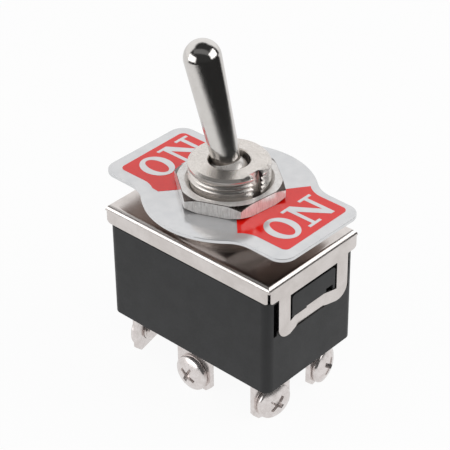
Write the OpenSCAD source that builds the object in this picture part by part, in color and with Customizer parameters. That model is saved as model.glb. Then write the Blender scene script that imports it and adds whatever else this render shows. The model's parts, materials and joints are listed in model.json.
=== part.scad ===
// Panel toggle switch, two poles, screw terminals.
// The origin is on the axis of the threaded bushing, in the outer face of the top nut.
// +Z runs up the bushing, X is the long way of the body, -Y is the front.

/* [Frame] */
// Length of the folded frame, over the two end faces
frame_l = 32; // [30:0.1:36]
// Width of the folded frame, over the two long flanges
frame_w = 19.5; // [18.5:0.1:24]
// Thickness of the frame's sheet
sheet_t = 0.8; // [0.6:0.05:1]
// Outer radius of the folds
bend_r = 1; // [0.9:0.05:1.4]
// Depth of the flanges below the top face
flange_h = 3.05; // [2.4:0.05:4]
// Slot between two flanges at a corner
corner_gap = 0.4; // [0.2:0.02:0.6]
// Radius of the flanges' lower corners
flange_corner_r = 0.8; // [0.3:0.05:1.2]

/* [End loops] */
// Width of the loop that hangs from each end flange
loop_w = 15.2; // [12:0.1:15.6]
// Width of a loop's leg
loop_leg = 2.45; // [1.8:0.05:3]
// Depth of the loop below the top face
loop_depth = 10.25; // [8.5:0.05:11]
// Radius of a loop's lower corners [mm]
loop_r = 2; // [1:0.1:2.4]
// Height of the bar that closes the loop
loop_bar = 2.2; // [1.6:0.05:2.6]
// Depth of the window's top edge below the top face
window_top = 3.5; // [3.2:0.05:4.5]
// How far the bar is pressed in under the housing's ledge
crimp = 0.6; // [0.3:0.05:0.7]
// Length of the straight pressed stretch of the bar
crimp_w = 5.6; // [3:0.1:7]

/* [Housing] */
// Length of the moulded housing
body_l = 31.2; // [30:0.1:34]
// Width of the moulded housing
body_w = 19.3; // [18.4:0.1:23]
// Depth of the housing's underside below the frame's top face
body_depth = 19.15; // [17.5:0.05:24]
// Radius of the housing's upright corners
body_r = 1.4; // [0.5:0.1:2.5]
// Thickness of the two long walls
side_wall = 1.75; // [1.5:0.05:2.2]
// Thickness of the two end walls
end_wall = 1.9; // [1.7:0.05:2.4]
// Thickness of the floor that the terminals pass through
floor_t = 5.15; // [4:0.05:6]
// Thickness of the wall between the two poles
partition_t = 1.2; // [0.8:0.1:1.6]
// Thickness of the fibre liner under the frame
liner_t = 0.4; // [0.2:0.05:0.8]

/* [Bushing] */
// Outer diameter of the bushing's thread
thread_d = 12; // [11.4:0.1:13]
// Height of the bushing above the frame's top face
bushing_h = 9.95; // [9:0.05:13]
// Diameter of the bore at the bushing's mouth
mouth_d = 6.06; // [5.9:0.02:6.6]
// Chamfer at the bushing's top edge
thread_chamfer = 0.4; // [0.2:0.05:0.8]
// Diameter of the shoulder that seats on the frame
shoulder_d = 14.4; // [13.4:0.1:16]
// Height of that shoulder
shoulder_h = 1; // [0.6:0.05:1.6]
// Width of the keyway along the thread
keyway_w = 1.75; // [1:0.05:2.2]
// Depth of the keyway
keyway_depth = 1; // [0.5:0.05:1.3]
// Direction of the keyway, from +X
keyway_turn = -5; // [-20:1:20]

/* [Nuts, washer and plate] */
// Depth of the nuts' grip below the crests of the bushing's thread
grip_depth = 0.25; // [0.2:0.05:0.4]
// Length of bare thread between the top nut and the origin
thread_start = 0.15; // [0.1:0.05:0.3]
// Width of the nuts across flats
nut_af = 14.7; // [14:0.1:17]
// Thickness of each nut
nut_h = 2.2; // [1.6:0.05:3]
// Direction of the top nut's first corner
nut_turn = 22.9; // [0:0.1:60]
// Direction of the lower nut's first corner
lower_nut_turn = 8; // [0:1:60]
// Outer diameter of the toothed lock washer
washer_d = 17.6; // [17:0.1:19]
// Height of the washer over its twisted teeth
washer_h = 0.9; // [0.8:0.05:1.2]
// Number of teeth inside the washer
washer_teeth = 12; // [8:1:16]
// Thickness of the legend plate
plate_t = 0.55; // [0.4:0.05:0.8]
// Diameter of the legend plate's round middle
plate_d = 25.7; // [23:0.1:27]
// Length of the legend plate over its two tabs
plate_l = 35.7; // [32:0.1:40]
// Width of the tabs
tab_w = 17; // [14:0.1:18]
// Radius of the tabs' corners
tab_r = 2.4; // [0.5:0.1:3]
// Hollow corner between tab and disc [mm]
tab_hollow = 5; // [1:0.1:6]
// Turn the plate took as the nut was done up [deg]
plate_turn = -0.9; // [-3:0.1:3]

/* [Lever] */
// Tilt of the lever to each side of upright
tilt = 15.9; // [12:0.1:16]
// Depth of the pivot below the bushing's mouth
pivot_drop = 2.5; // [2.3:0.05:3]
// Distance from the pivot to the centre of the rounded tip
lever_l = 17.7; // [14:0.1:24]
// Diameter of the rounded tip
tip_d = 5.5; // [4.5:0.1:6.5]
// Diameter where the lever leaves the ball
neck_d = 3.96; // [3.4:0.02:4]
// Diameter of the tail below the ball
tail_d = 2.5; // [2:0.05:2.6]
// Diameter of the cross pin through the ball
pin_d = 1.5; // [1.2:0.05:1.8]
// Length of the cross pin
pin_l = 7.3; // [7:0.1:7.8]

/* [Contact mechanism] */
// Distance of each pole from the middle
pole_y = 4.9; // [4.6:0.05:5.2]
// Height of the rockers' axis above the floor
rocker_rise = 2.4; // [2.1:0.05:3]
// Swing of the rockers to each side of level
rocker_swing = 5; // [3:0.5:7]
// Width of a rocker
rocker_w = 3.8; // [3:0.1:4]
// Thickness of a rocker's strip
rocker_t = 0.8; // [0.5:0.05:1]
// Length of a rocker
rocker_l = 17.2; // [16:0.1:18]
// Radius of the half-round foot that a rocker turns on
foot_r = 0.9; // [0.8:0.05:1.1]
// Distance of the contacts' middle from the rocker's tips
contact_inset = 1.3; // [1:0.1:1.8]
// Diameter of the contacts
contact_d = 2.4; // [1.8:0.1:2.8]
// Height of the moving contacts below the rocker
contact_h = 0.5; // [0.3:0.05:0.6]
// Diameter of the plungers
plunger_d = 2.8; // [2.4:0.05:3]
// Travel of a plunger into its socket
plunger_travel = 0.8; // [0.4:0.05:1]
// Diameter of the plunger spring's wire
wire_d = 0.32; // [0.2:0.02:0.4]
// Turns of a plunger spring
spring_turns = 4; // [3:0.5:6]

/* [Terminals] */
// Width of a terminal below the housing
terminal_w = 6.7; // [6:0.1:7.6]
// Thickness of the terminals
terminal_t = 0.8; // [0.8:0.05:1.2]
// Length of a terminal below the housing
terminal_l = 7.1; // [6.5:0.05:9]
// Chamfer of the terminals' lower corners
terminal_cut = 1; // [0.5:0.1:2.4]
// Width of the neck that passes through the floor
neck_w = 4; // [3:0.1:4.4]
// Distance of the end terminals from the middle, along X
terminal_x = 13; // [12.6:0.1:13.2]
// Distance of the end terminals from the middle, along Y
terminal_y = 5.6; // [5.4:0.1:5.8]
// Distance of the middle terminals from the middle, along Y
mid_terminal_y = 8.4; // [8.2:0.05:8.5]
// Turn of the end terminals towards the corners
terminal_turn = 12; // [0:1:18]
// Depth of the screws' axes below the housing
screw_drop = 4.55; // [4:0.05:5.5]
// Diameter of the terminal screws
screw_d = 3; // [2.5:0.1:3.5]
// Diameter of the screw heads
head_d = 5.8; // [5:0.1:6.4]
// Height of the screw heads
head_h = 1.7; // [1.4:0.05:2.4]
// Height of the heads' straight rim
head_rim = 0.6; // [0.3:0.05:1]
// Length of screw behind the terminal
screw_tip = 0.8; // [0.3:0.1:1.5]

/* [Clearances] */
// Radial play of a pin, foot or plunger in its bore
play = 0.05; // [0.02:0.01:0.08]
// Play between fitted still pieces
seat_play = 0.05; // [0.02:0.01:0.1]
// Air round the frame's loop in the housing's channel
channel_gap = 0.4; // [0.2:0.05:0.5]
// Width of the notch beside the leg [mm]
notch_w = 1.5; // [1:0.1:2]
// Height of the notch beside the leg [mm]
notch_h = 0.6; // [0.3:0.05:1]
// Air beside the loop's legs, where the channel is open
leg_gap = 0.7; // [0.5:0.05:1]

/* [Hidden] */
$fn = 96;
eps = 0.01;

nickel = [0.80, 0.78, 0.75];
chrome = [0.86, 0.87, 0.88];
black = [0.16, 0.16, 0.17];
brass = [0.80, 0.66, 0.38];
silver = [0.90, 0.90, 0.88];

// Heights, all measured from the origin
top_nut_z = -thread_start - nut_h;
plate_z = top_nut_z - plate_t;
washer_z = plate_z - washer_h;
lower_nut_z = washer_z - nut_h;
frame_z = lower_nut_z - shoulder_h;
mouth_z = frame_z + bushing_h;
pivot_z = mouth_z - pivot_drop;
under_sheet_z = frame_z - sheet_t;
rim_z = under_sheet_z - liner_t;
step_z = frame_z - flange_h - 0.25;
body_z = frame_z - body_depth;
floor_z = body_z + floor_t;
rocker_z = floor_z + rocker_rise;
screw_z = body_z - screw_drop;

// Bushing
thread_r = thread_d / 2;
engaged_r = thread_r - grip_depth;
nut_bore_r = engaged_r + 0.04;
nut_sink = grip_depth + 0.45;
hole_r = thread_r + 0.04;
ball_r = mouth_d / 2 - play - 0.03;
pin_slot_y = pin_l / 2 + 0.25;
seat_z = pivot_z - 1.65;
seat_h = 1.5;
seat_hole_r = sqrt(ball_r * ball_r - 1.65 * 1.65) + 0.06;
counterbore_r = max(4.4, pin_slot_y + 0.5);
stub_r = thread_r - 0.4;
stake_r = thread_r + 0.3;
stake_h = 0.7;

// Lever
tip_r = tip_d / 2;
neck_r = neck_d / 2;
lever_slope = (tip_r - neck_r) / lever_l;

contact_x = rocker_l / 2 - contact_inset;

// Plungers reach the rockers' dish; the dish follows the path of their noses
nose_r = plunger_d / 2;
dish_h = 0.6;
dish_gap = play;
reach = pivot_z - rocker_z - dish_h - dish_gap;
nose_l = reach - nose_r;
swing_ratio = rocker_swing / tilt;
nose_lift = pivot_z - rocker_z - nose_l;
dish_r = nose_r + dish_gap
    + pow(nose_l - nose_lift * swing_ratio, 2)
    / (2 * (nose_l * (swing_ratio + 0.5) - nose_lift * swing_ratio * swing_ratio / 2));
dish_half = nose_l * sin(tilt) + 0.35;
tip_h = dish_h + dish_r - sqrt(dish_r * dish_r - dish_half * dish_half);

// Plunger carrier, measured down from the pivot along the lever
carrier_end = reach - 2.5;
plunger_l = 4.4;
spring_end = reach - plunger_l;
socket_top = spring_end - plunger_travel - (spring_turns + 0.7) * wire_d;
carrier_top = socket_top - 0.8;
socket_r = nose_r + play + 0.8;

// Fixed contacts reach up to the lowered moving contact
leg_t = 0.8;
leg_top = floor_z + leg_t;
contact_dome = 3;
closed_z = rocker_z - contact_x * sin(rocker_swing)
    + (tip_h - rocker_t - contact_h) * cos(rocker_swing) - play / cos(rocker_swing)
    - contact_dome * (1 / cos(rocker_swing) - 1);

// Outline helpers ------------------------------------------------------------

// Rectangle with four round corners, centred
module round_rect(l, w, r) {
    square([l - 2 * r, w], center = true);
    square([l, w - 2 * r], center = true);
    for (sx = [-1, 1], sy = [-1, 1])
        translate([sx * (l / 2 - r), sy * (w / 2 - r)]) circle(r);
}

// Strip whose two lower corners are round, its top edge at y = top
module round_foot(w, bottom, top, r) {
    translate([-w / 2, bottom + r]) square([w, top - bottom - r]);
    translate([-w / 2 + r, bottom]) square([w - 2 * r, top - bottom]);
    for (s = [-1, 1]) translate([s * (w / 2 - r), bottom + r]) circle(r);
}

// Turns a flat outline upright, to face +X, with thickness t behind x = 0
module facing_x(t) {
    rotate([90, 0, 90]) translate([0, 0, -t]) linear_extrude(t) children();
}

// Frame ----------------------------------------------------------------------

// Section of one fold: top sheet, bend and flange, its outer face at u = 0
module fold_section(depth) {
    translate([-bend_r - 1, -sheet_t]) square([1 + eps, sheet_t]);
    intersection() {
        translate([-bend_r, -bend_r]) difference() {
            circle(bend_r);
            circle(bend_r - sheet_t);
        }
        translate([-bend_r, -bend_r]) square(bend_r);
    }
    translate([-sheet_t, -depth]) square([sheet_t, depth - bend_r]);
}

// Fold along +X's edge: cut back to 45 degrees at both ends, then to its outline
module fold(half, width, depth) {
    intersection() {
        translate([half, 0, 0]) rotate([90, 0, 0])
            linear_extrude(width, center = true) fold_section(depth);
        translate([0, 0, -depth - 1]) linear_extrude(depth + 2)
            polygon([[half + 1, width / 2 + 1], [half - 3, width / 2 - 3],
                [half - 3, 3 - width / 2], [half + 1, -width / 2 - 1]]);
        translate([half + 1, 0, 0]) facing_x(5) union() {
            translate([-width / 2, -bend_r]) square([width, bend_r + 1]);
            round_foot(width - corner_gap, -flange_h, -bend_r + eps, flange_corner_r);
            children();
        }
    }
}

window_half = loop_w / 2 - loop_leg;
bar_top = loop_depth - loop_bar;

// Outline of a loop: two legs, joined later by the pressed bar
module loop_legs() {
    difference() {
        round_foot(loop_w, -loop_depth, -flange_h + eps, loop_r);
        translate([-window_half, -bar_top]) square([2 * window_half, bar_top - window_top]);
        translate([-window_half, -loop_depth - 1]) square([2 * window_half, loop_bar + 1 + eps]);
    }
}

// The bar, pressed in over its middle stretch, drawn in plan
module loop_bar_plan() {
    x = frame_l / 2;
    a = crimp_w / 2;
    b = window_half;
    polygon([[x, -b - 0.3], [x, -b], [x - crimp, -a], [x - crimp, a], [x, b], [x, b + 0.3],
        [x - sheet_t, b + 0.3], [x - sheet_t, b], [x - sheet_t - crimp, a],
        [x - sheet_t - crimp, -a], [x - sheet_t, -b], [x - sheet_t, -b - 0.3]]);
}

module frame() {
    color(nickel) translate([0, 0, frame_z]) difference() {
        union() {
            translate([0, 0, -sheet_t]) linear_extrude(sheet_t)
                square([frame_l - 2 * bend_r, frame_w - 2 * bend_r], center = true);
            for (s = [0, 1]) mirror([s, 0, 0]) {
                fold(frame_l / 2, frame_w, loop_depth) loop_legs();
                translate([0, 0, -loop_depth]) linear_extrude(loop_bar) loop_bar_plan();
            }
            for (s = [-90, 90]) rotate([0, 0, s]) fold(frame_w / 2, frame_l, flange_h);
        }
        translate([0, 0, -sheet_t - 1]) cylinder(r = stub_r + seat_play, h = sheet_t + 2);
        // open slot between neighbouring flanges
        for (x = [-1, 1], y = [-1, 1])
            translate([x * frame_l / 2, y * frame_w / 2, -bend_r - flange_h / 2])
                rotate([0, 0, 45 * x * y]) cube([4, corner_gap, flange_h], center = true);
    }
}

// Housing --------------------------------------------------------------------

rim_l = frame_l - 2 * sheet_t - 0.2;
rim_w = frame_w - 2 * sheet_t - 0.2;
bend_room = 0.3;
cavity_l = body_l - 2 * end_wall;
cavity_w = body_w - 2 * side_wall;
channel_x = frame_l / 2 - sheet_t - seat_play;
ledge = bar_top - 0.65;
island_half = window_half - channel_gap;

// Face standing in the loop's window, flush with the loop: its lower edge is the ledge
// over the pressed bar, with a notch beside the leg
module island() {
    low = -bar_top + channel_gap;
    difference() {
        round_top_window(island_half, low, -window_top - channel_gap, 0.6);
        translate([-island_half / 3, low - 1])
            square([island_half * 4 / 3 - 0.5, -ledge - low + 1]);
        translate([island_half - 0.5 - notch_w, low - 1])
            square([notch_w, -ledge + notch_h - low + 1]);
    }
}

// Upright opening with round upper corners
module round_top_window(half, bottom, top, r) {
    translate([-half, bottom]) square([2 * half, top - bottom - r]);
    translate([-half + r, bottom]) square([2 * (half - r), top - bottom]);
    for (s = [-1, 1]) translate([s * (half - r), top - r]) circle(r);
}

// Channel for one loop, cut into the end wall
module channel() {
    wide = loop_w + 2 * seat_play;
    low = -loop_depth - seat_play;
    deep = body_l / 2 + 1 - channel_x;
    translate([body_l / 2 + 1, 0, frame_z]) {
        facing_x(deep) difference() {
            round_foot(wide, low, -flange_h, loop_r + seat_play);
            island();
        }
        // the pressed bar lies deeper, under the ledge
        facing_x(deep + crimp + seat_play) difference() {
            translate([-window_half, low]) square([2 * window_half, -low - ledge + 0.5]);
            island();
        }
        // open slots beside the legs
        for (s = [-1, 1]) facing_x(deep + 0.75)
            translate([s * (loop_w / 2 + leg_gap / 2) - leg_gap / 2, low + 0.8])
                square([leg_gap, -low - 0.8 - flange_h - 0.7]);
    }
}

module housing() {
    color(black) difference() {
        union() {
            translate([0, 0, body_z]) linear_extrude(step_z - body_z)
                round_rect(body_l, body_w, body_r);
            translate([0, 0, step_z - eps]) linear_extrude(rim_z - step_z + eps)
                round_rect(rim_l, rim_w, 0.6);
            for (s = [0, 1]) mirror([s, 0, 0]) translate([frame_l / 2, 0, frame_z])
                facing_x(2) island();
        }
        // cavity of the two poles, with the partition left between them
        difference() {
            translate([0, 0, floor_z]) linear_extrude(rim_z - floor_z + 1)
                round_rect(cavity_l, cavity_w, 0.8);
            translate([-cavity_l / 2 - 1, -partition_t / 2, floor_z - 1])
                cube([cavity_l + 2, partition_t, rocker_z + tip_h + 0.4 - floor_z + 1]);
        }
        // pockets over the middle terminals
        for (s = [-1, 1])
            translate([-neck_w / 2 - seat_play,
                s > 0 ? cavity_w / 2 - 1 : -mid_terminal_y - seat_play, floor_z])
                cube([neck_w + 2 * seat_play, mid_terminal_y + seat_play - cavity_w / 2 + 1, leg_t + 1]);
        for (s = [0, 1]) mirror([s, 0, 0]) channel();
        // slots for the terminals' necks
        for (sx = [0, 1], sy = [0, 1]) mirror([sx, 0, 0]) mirror([0, sy, 0]) end_place()
            neck_slot();
        for (sy = [0, 1]) mirror([0, sy, 0]) middle_place() neck_slot();
    }
}

// Liner ----------------------------------------------------------------------

module liner() {
    color([0.45, 0.30, 0.20]) translate([0, 0, rim_z]) linear_extrude(liner_t) difference() {
        round_rect(rim_l - bend_room, rim_w - bend_room, 0.6);
        circle(stake_r + 0.3);
    }
}

// Bushing and what it holds --------------------------------------------------

module bushing() {
    color(nickel) difference() {
        rotate_extrude() polygon([[0, under_sheet_z - stake_h], [stake_r - 0.3, under_sheet_z - stake_h],
            [stake_r, under_sheet_z - stake_h + 0.3], [stake_r, under_sheet_z], [stub_r, under_sheet_z],
            [stub_r, frame_z], [shoulder_d / 2, frame_z], [shoulder_d / 2, frame_z + shoulder_h],
            [engaged_r, frame_z + shoulder_h], [engaged_r, 0], [thread_r, 0],
            [thread_r, mouth_z - thread_chamfer], [thread_r - thread_chamfer, mouth_z], [0, mouth_z]]);
        translate([0, 0, seat_z - 1]) cylinder(d = mouth_d, h = mouth_z - seat_z + 2);
        translate([0, 0, mouth_z - 0.15]) cylinder(d1 = mouth_d, d2 = mouth_d + 0.6, h = 0.3);
        translate([0, 0, under_sheet_z - stake_h - 1])
            cylinder(r = counterbore_r, h = seat_z - under_sheet_z + stake_h + 1);
        // closed slots for the ends of the cross pin
        translate([0, 0, pivot_z]) rotate([90, 0, 0])
            cylinder(r = pin_d / 2 + play, h = 2 * pin_slot_y, center = true);
        translate([-pin_d / 2 - play, -pin_slot_y, seat_z - eps])
            cube([pin_d + 2 * play, 2 * pin_slot_y, pivot_z - seat_z + eps]);
        rotate([0, 0, keyway_turn])
            translate([thread_r - keyway_depth, -keyway_w / 2, frame_z + shoulder_h])
                cube([keyway_depth + 1, keyway_w, bushing_h]);
    }
}

module ball_seat() {
    tail_room = seat_hole_r;
    color(brass) translate([0, 0, seat_z - seat_h]) difference() {
        cylinder(r = counterbore_r - 0.02, h = seat_h);
        translate([0, 0, -1]) cylinder(r = tail_room, h = seat_h + 2);
    }
}

// Everything on the lever is drawn upright about the pivot, then tilted
module on_lever() {
    translate([0, 0, pivot_z]) rotate([0, -tilt, 0]) children();
}

module lever() {
    taper = atan(lever_slope);
    color(chrome) on_lever() difference() {
        rotate_extrude() intersection() {
            union() {
                polygon([[0, 1], [neck_r + lever_slope, 1],
                    [tip_r * cos(taper), lever_l + tip_r * sin(taper)],
                    [0, lever_l + tip_r * sin(taper)]]);
                translate([0, lever_l]) circle(tip_r);
                circle(ball_r);
                translate([0, -carrier_end + 1.2]) square([tail_d / 2, carrier_end]);
            }
            translate([0, -reach]) square([2 * tip_r, reach + lever_l + 2 * tip_r]);
        }
        rotate([90, 0, 0]) cylinder(d = pin_d, h = 2 * tip_r + 2, center = true);
    }
}

module pivot_pin() {
    color(chrome) translate([0, 0, pivot_z]) rotate([90, 0, 0])
        cylinder(d = pin_d, h = pin_l, center = true);
}

// Moulded carrier: a hub on the tail, a web, and a socket for each plunger
module plunger_carrier() {
    color([0.62, 0.25, 0.16]) on_lever() difference() {
        union() {
            translate([0, 0, -carrier_end + 1])
                cylinder(d = tail_d + 2.8, h = carrier_end - 1 - carrier_top);
            for (s = [-1, 1]) translate([0, s * pole_y, -carrier_end])
                cylinder(r = socket_r, h = carrier_end - carrier_top);
            translate([-1.3, -pole_y, -carrier_end + 1.6])
                cube([2.6, 2 * pole_y, carrier_end - 1.6 - carrier_top]);
        }
        translate([0, 0, -reach]) cylinder(d = tail_d + 0.02, h = reach);
        for (s = [-1, 1]) translate([0, s * pole_y, -reach])
            cylinder(r = nose_r + play, h = reach - socket_top);
    }
}

module plunger(s) {
    color(brass) on_lever() translate([0, s * pole_y, 0]) {
        translate([0, 0, -nose_l]) cylinder(r = nose_r, h = nose_l - spring_end);
        translate([0, 0, -nose_l]) sphere(nose_r);
    }
}

// Coil spring: six-sided wire swept along a helix, one ring of points per step
module plunger_spring(s) {
    wire_r = wire_d / 2;
    coil_r = nose_r - wire_r - 0.1;
    low = spring_end - wire_r;
    rise = low - socket_top - wire_r;
    steps = round(14 * spring_turns);
    sides = 6;
    pts = [for (i = [0:steps]) let (a = 360 * spring_turns * i / steps, z = -low + rise * i / steps)
        for (j = [0:sides - 1]) let (b = 360 * j / sides, r = coil_r + wire_r * cos(b))
            [r * cos(a), r * sin(a), z + wire_r * sin(b)]];
    walls = [for (i = [0:steps - 1], j = [0:sides - 1])
        let (k = (j + 1) % sides)
            [i * sides + j, (i + 1) * sides + j, (i + 1) * sides + k, i * sides + k]];
    ends = [[for (j = [0:sides - 1]) j], [for (j = [sides - 1:-1:0]) steps * sides + j]];
    color(silver) on_lever() translate([0, s * pole_y, 0])
        polyhedron(points = pts, faces = concat(walls, ends), convexity = 6);
}

// Contacts -------------------------------------------------------------------

// Everything on a rocker is drawn level about its axis, then swung
module on_rocker(s) {
    translate([0, s * pole_y, rocker_z]) rotate([0, rocker_swing, 0]) children();
}

// Dished strip with level tips, and a half-round foot under the middle
module rocker(s) {
    color(brass) on_rocker(s) rotate([90, 0, 0]) linear_extrude(rocker_w, center = true)
        difference() {
            union() {
                intersection() {
                    translate([0, dish_h + dish_r]) circle(dish_r + rocker_t);
                    translate([-rocker_l / 2, -rocker_t]) square([rocker_l, tip_h + rocker_t / 2]);
                }
                translate([-rocker_l / 2, tip_h - rocker_t]) square([rocker_l, rocker_t]);
                intersection() {
                    circle(foot_r);
                    translate([-foot_r, -foot_r]) square([2 * foot_r, foot_r + dish_h / 2]);
                }
            }
            translate([0, dish_h + dish_r]) circle(dish_r);
        }
}

module moving_contact(s, side) {
    color(silver) on_rocker(s) translate([side * contact_x, 0, tip_h - rocker_t - contact_h])
        cylinder(d = contact_d, h = contact_h);
}

// Domed rivet that stands on the end terminal's inner leg
module fixed_contact(s, side) {
    color(silver) translate([side * contact_x, s * pole_y, 0]) intersection() {
        translate([0, 0, leg_top]) cylinder(d = contact_d, h = closed_z - leg_top + 1);
        translate([0, 0, closed_z - contact_dome]) sphere(contact_dome);
    }
}

// Saddle that carries the rocker's foot on the middle terminal's inner leg
module cradle(s) {
    low = leg_top - rocker_z;
    color(brass) translate([0, s * pole_y, rocker_z]) rotate([90, 0, 0])
        linear_extrude(rocker_w, center = true) difference() {
            translate([-2 * foot_r, low]) square([4 * foot_r, -foot_r / 3 - low - 0.05]);
            circle(foot_r + play);
        }
}

// Terminals ------------------------------------------------------------------

module end_place() {
    translate([terminal_x, terminal_y, 0]) rotate([0, 0, terminal_turn]) children();
}

module middle_place() {
    translate([0, mid_terminal_y, 0]) rotate([0, 0, 90]) children();
}

module neck_slot() {
    facing_x(terminal_t + seat_play) translate([-neck_w / 2 - seat_play, body_z - 1])
        square([neck_w + 2 * seat_play, floor_t + 2]);
    translate([seat_play, 0, 0]) facing_x(seat_play * 2)
        translate([-neck_w / 2 - seat_play, body_z - 1]) square([neck_w + 2 * seat_play, floor_t + 2]);
}

// Plate below the housing, neck through the floor, hole for the screw
module terminal_plate() {
    low = body_z - terminal_l;
    facing_x(terminal_t) difference() {
        union() {
            polygon([[-terminal_w / 2, body_z], [terminal_w / 2, body_z],
                [terminal_w / 2, low + terminal_cut], [terminal_w / 2 - terminal_cut, low],
                [terminal_cut - terminal_w / 2, low], [-terminal_w / 2, low + terminal_cut]]);
            translate([-neck_w / 2, body_z - eps]) square([neck_w, floor_t + leg_t + eps]);
        }
        translate([0, screw_z]) circle(screw_d / 2 + 0.02);
    }
}

module end_terminal(sx, sy) {
    color(nickel) mirror([sx, 0, 0]) mirror([0, sy, 0]) {
        end_place() terminal_plate();
        translate([contact_x - contact_d / 2 - 0.3, pole_y - rocker_w / 2, floor_z])
            cube([terminal_x - contact_x + contact_d / 2 - 0.2, rocker_w, leg_t]);
    }
}

module middle_terminal(sy) {
    color(nickel) mirror([0, sy, 0]) {
        middle_place() terminal_plate();
        translate([-neck_w / 2, pole_y - rocker_w / 2, floor_z])
            cube([neck_w, mid_terminal_y - pole_y + rocker_w / 2 - 0.2, leg_t]);
    }
}

// Pan-head screw along +X, its head on the terminal's outer face
module terminal_screw(turn) {
    crown = head_h - head_rim;
    crown_r = (head_d * head_d / 4 + crown * crown) / (2 * crown);
    difference() {
        union() {
            rotate([0, 90, 0]) intersection() {
                cylinder(d = head_d, h = head_h + 1);
                translate([0, 0, head_h - crown_r]) sphere(crown_r);
            }
            translate([-terminal_t - screw_tip, 0, 0]) rotate([0, 90, 0])
                cylinder(d = screw_d, h = terminal_t + screw_tip + eps);
        }
        rotate([turn, 0, 0]) {
            for (a = [0, 90]) rotate([a, 0, 0]) translate([head_h - 1.1, -1.5, -0.3]) cube([2, 3, 0.6]);
            translate([head_h - 0.7, -head_d, -0.3]) cube([2, 2 * head_d, 0.6]);
        }
    }
}

module end_screw(sx, sy, turn) {
    color(chrome) mirror([sx, 0, 0]) mirror([0, sy, 0]) end_place()
        translate([0, 0, screw_z]) terminal_screw(turn);
}

module middle_screw(sy, turn) {
    color(chrome) mirror([0, sy, 0]) middle_place()
        translate([0, 0, screw_z]) terminal_screw(turn);
}

// Nuts, washer and plate -----------------------------------------------------

// Hexagon with bevelled corners on both faces and a countersunk bore
module hex_nut(turn) {
    corner = nut_af / 2 / cos(30);
    bevel_from = nut_af / 2 + 0.3;
    drop = (corner + 1 - bevel_from) * tan(30);
    rotate([0, 0, turn]) difference() {
        intersection() {
            linear_extrude(nut_h) circle(corner, $fn = 6);
            rotate_extrude() polygon([[0, 0], [bevel_from, 0], [corner + 1, drop],
                [corner + 1, nut_h - drop], [bevel_from, nut_h], [0, nut_h]]);
        }
        translate([0, 0, -1]) cylinder(r = nut_bore_r, h = nut_h + 2);
        for (z = [0, nut_h]) translate([0, 0, z]) rotate_extrude()
            polygon([[0, -nut_sink], [nut_bore_r, -nut_sink], [nut_bore_r + nut_sink, 0],
                [nut_bore_r, nut_sink], [0, nut_sink]]);
    }
}

module top_nut() {
    color(nickel) translate([0, 0, top_nut_z]) hex_nut(nut_turn);
}

module lower_nut() {
    color(nickel) translate([0, 0, lower_nut_z]) hex_nut(lower_nut_turn);
}

// Flat ring with twisted teeth that point inwards
module lock_washer() {
    ring_t = 0.5;
    ring_in = thread_r + 1.3;
    tooth = 2 * PI * thread_r / washer_teeth * 0.6;
    twist = asin((washer_h - ring_t * 0.95) / tooth);
    color(silver) translate([0, 0, washer_z + washer_h / 2]) {
        linear_extrude(ring_t, center = true) difference() {
            circle(d = washer_d);
            circle(ring_in);
        }
        for (i = [0:washer_teeth - 1]) rotate([0, 0, 360 * i / washer_teeth])
            translate([hole_r, 0, 0]) rotate([twist, 0, 0])
                translate([0, -tooth / 2, -ring_t / 2]) cube([ring_in - hole_r + 0.25, tooth, ring_t]);
    }
}

// Fillets between the tabs and the disc, which the arc touches at hollow_x, hollow_y
hollow_y = tab_w / 2 + tab_hollow;
hollow_x = sqrt(pow(plate_d / 2 + tab_hollow, 2) - pow(hollow_y, 2));
module hollow_corners() {
    for (x = [-1, 1], y = [-1, 1]) scale([x, y]) difference() {
        polygon([[0, 0], [hollow_x, 0], [hollow_x, hollow_y]]);
        translate([hollow_x, hollow_y]) circle(tab_hollow);
    }
}

module legend_plate() {
    color([0.88, 0.88, 0.89]) translate([0, 0, plate_z]) linear_extrude(plate_t)
            rotate(plate_turn) difference() {
        union() {
            circle(d = plate_d);
            round_rect(plate_l, tab_w, tab_r);
            hollow_corners();
        }
        circle(thread_r + 0.12);
    }
}

frame();
housing();
liner();
bushing();
ball_seat();
lever();
pivot_pin();
plunger_carrier();
plunger(-1);  // plunger_front
plunger(1);  // plunger_rear
plunger_spring(-1);  // plunger_spring_front
plunger_spring(1);  // plunger_spring_rear
rocker(-1);  // rocker_front
rocker(1);  // rocker_rear
moving_contact(-1, -1);  // moving_contact_front_left
moving_contact(-1, 1);  // moving_contact_front_right
moving_contact(1, -1);  // moving_contact_rear_left
moving_contact(1, 1);  // moving_contact_rear_right
fixed_contact(-1, -1);  // fixed_contact_front_left
fixed_contact(-1, 1);  // fixed_contact_front_right
fixed_contact(1, -1);  // fixed_contact_rear_left
fixed_contact(1, 1);  // fixed_contact_rear_right
cradle(-1);  // cradle_front
cradle(1);  // cradle_rear
end_terminal(1, 1);  // terminal_front_left
middle_terminal(1);  // terminal_front_middle
end_terminal(0, 1);  // terminal_front_right
end_terminal(1, 0);  // terminal_rear_left
middle_terminal(0);  // terminal_rear_middle
end_terminal(0, 0);  // terminal_rear_right
end_screw(1, 1, 20);  // screw_front_left
middle_screw(1, 62);  // screw_front_middle
end_screw(0, 1, 35);  // screw_front_right
end_screw(1, 0, 70);  // screw_rear_left
middle_screw(0, 15);  // screw_rear_middle
end_screw(0, 0, 50);  // screw_rear_right
lower_nut();
lock_washer();
legend_plate();
top_nut();
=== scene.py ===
# %% [markdown]
# # Panel toggle switch
#
# A bat-lever toggle switch: a black moulded body under a folded nickel-plated
# frame, a threaded bushing with its nuts, a lacquered legend plate and a
# polished lever. The solids come from the CAD model and stay where they are.
# This lesson adds what a plain solid lacks: thread, eased edges, lacquer,
# lettering, screw recesses and surfaces that look handled.

# %% Load the fixed frame
import json
import math

import bmesh
import bpy
from mathutils import Matrix, Vector


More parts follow.
